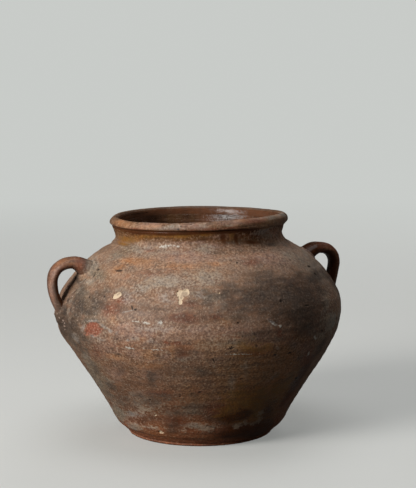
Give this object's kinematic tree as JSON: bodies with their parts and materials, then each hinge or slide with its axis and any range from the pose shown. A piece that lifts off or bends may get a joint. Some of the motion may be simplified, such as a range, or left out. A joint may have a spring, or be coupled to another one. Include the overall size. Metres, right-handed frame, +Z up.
{
  "type": "twin-handled urn",
  "caption": "Wide-bellied earthenware storage urn with a short collar, rolled lip, strap handles on the shoulder, flat foot and glazed inside.",
  "frame": {"origin": "centre of the flat underside of the base disc", "axes": "+Z up through the mouth, +X towards the right handle, +Y away from the pictured side"},
  "size_m": [0.3706, 0.3416, 0.2617],
  "materials": {
    "wall_clay": "old red earthenware, smoked and stained, half matt with worn patches",
    "foot_clay": "bare orange-red earthenware, matt",
    "collar_glaze": "thin amber glaze run over earthenware, satin",
    "lip_clay": "earthenware with thin worn glaze, satin",
    "liner_glaze": "dark red-brown glaze, glossy",
    "strap_clay": "earthenware polished by hands, satin",
    "wad_clay": "rough smeared clay, dusty and matt"
  },
  "bodies": {
    "root": {"base_disc": "foot_clay", "lower_wall": "wall_clay", "shoulder_wall": "wall_clay", "neck_collar": "collar_glaze", "rolled_lip": "lip_clay", "liner_glaze": "liner_glaze", "left_handle": "strap_clay", "right_handle": "strap_clay", "left_upper_wad": "wad_clay", "left_lower_wad": "wad_clay", "right_upper_wad": "wad_clay", "right_lower_wad": "wad_clay"}
  },
  "joints": []
}
